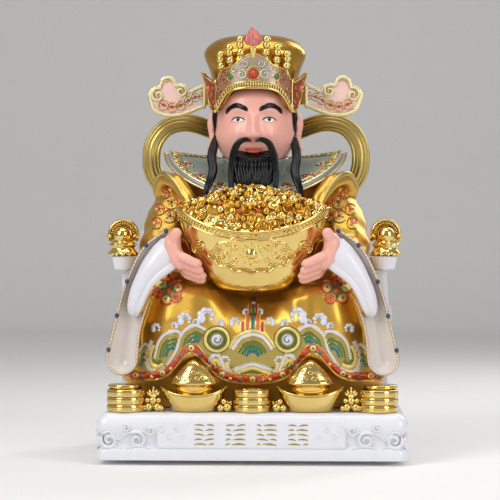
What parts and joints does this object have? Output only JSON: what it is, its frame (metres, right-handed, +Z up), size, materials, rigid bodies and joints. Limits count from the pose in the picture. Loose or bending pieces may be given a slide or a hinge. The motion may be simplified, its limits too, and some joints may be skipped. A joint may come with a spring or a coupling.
{
  "type": "deity statue",
  "caption": "Seated god of wealth in a gold robe and winged hat on a white armchair throne, holding an ingot heaped with treasure, with coins and ingots along a carved plinth.",
  "frame": {"origin": "centre of the underside of the plinth", "axes": "+Z up, -Y the way the figure faces, +X to the viewer's right"},
  "size_m": [0.34, 0.24, 0.48],
  "materials": {
    "crown_copper": "copper paint with gilt edges",
    "ivory_enamel": "ivory enamel",
    "plated_gold": "bright plated gold with a mirror gloss",
    "rose_crystal": "tinted clear resin",
    "satin_gold": "satin metallic gold paint",
    "scarf_gold": "satin olive-gold paint",
    "skin_enamel": "flesh-pink painted resin",
    "white_resin": "white cast resin, soft gloss"
  },
  "bodies": {
    "root": {"plinth": "white_resin", "throne": "white_resin", "finial_left": "plated_gold", "finial_right": "plated_gold", "robe": "satin_gold", "scarf": "scarf_gold", "hand_left": "skin_enamel", "hand_right": "skin_enamel", "treasure_ingot": "plated_gold", "head": "skin_enamel", "hat": "satin_gold", "crown": "crown_copper", "flame": "rose_crystal", "hat_wing_left": "ivory_enamel", "hat_wing_right": "ivory_enamel", "coin_stack_left": "plated_gold", "coin_stack_middle": "plated_gold", "coin_stack_right": "plated_gold", "small_ingot_left": "plated_gold", "small_ingot_right": "plated_gold", "bead_cluster_left": "plated_gold", "bead_cluster_right": "plated_gold", "bead_sprig_left": "plated_gold", "bead_sprig_right": "plated_gold"}
  },
  "joints": []
}
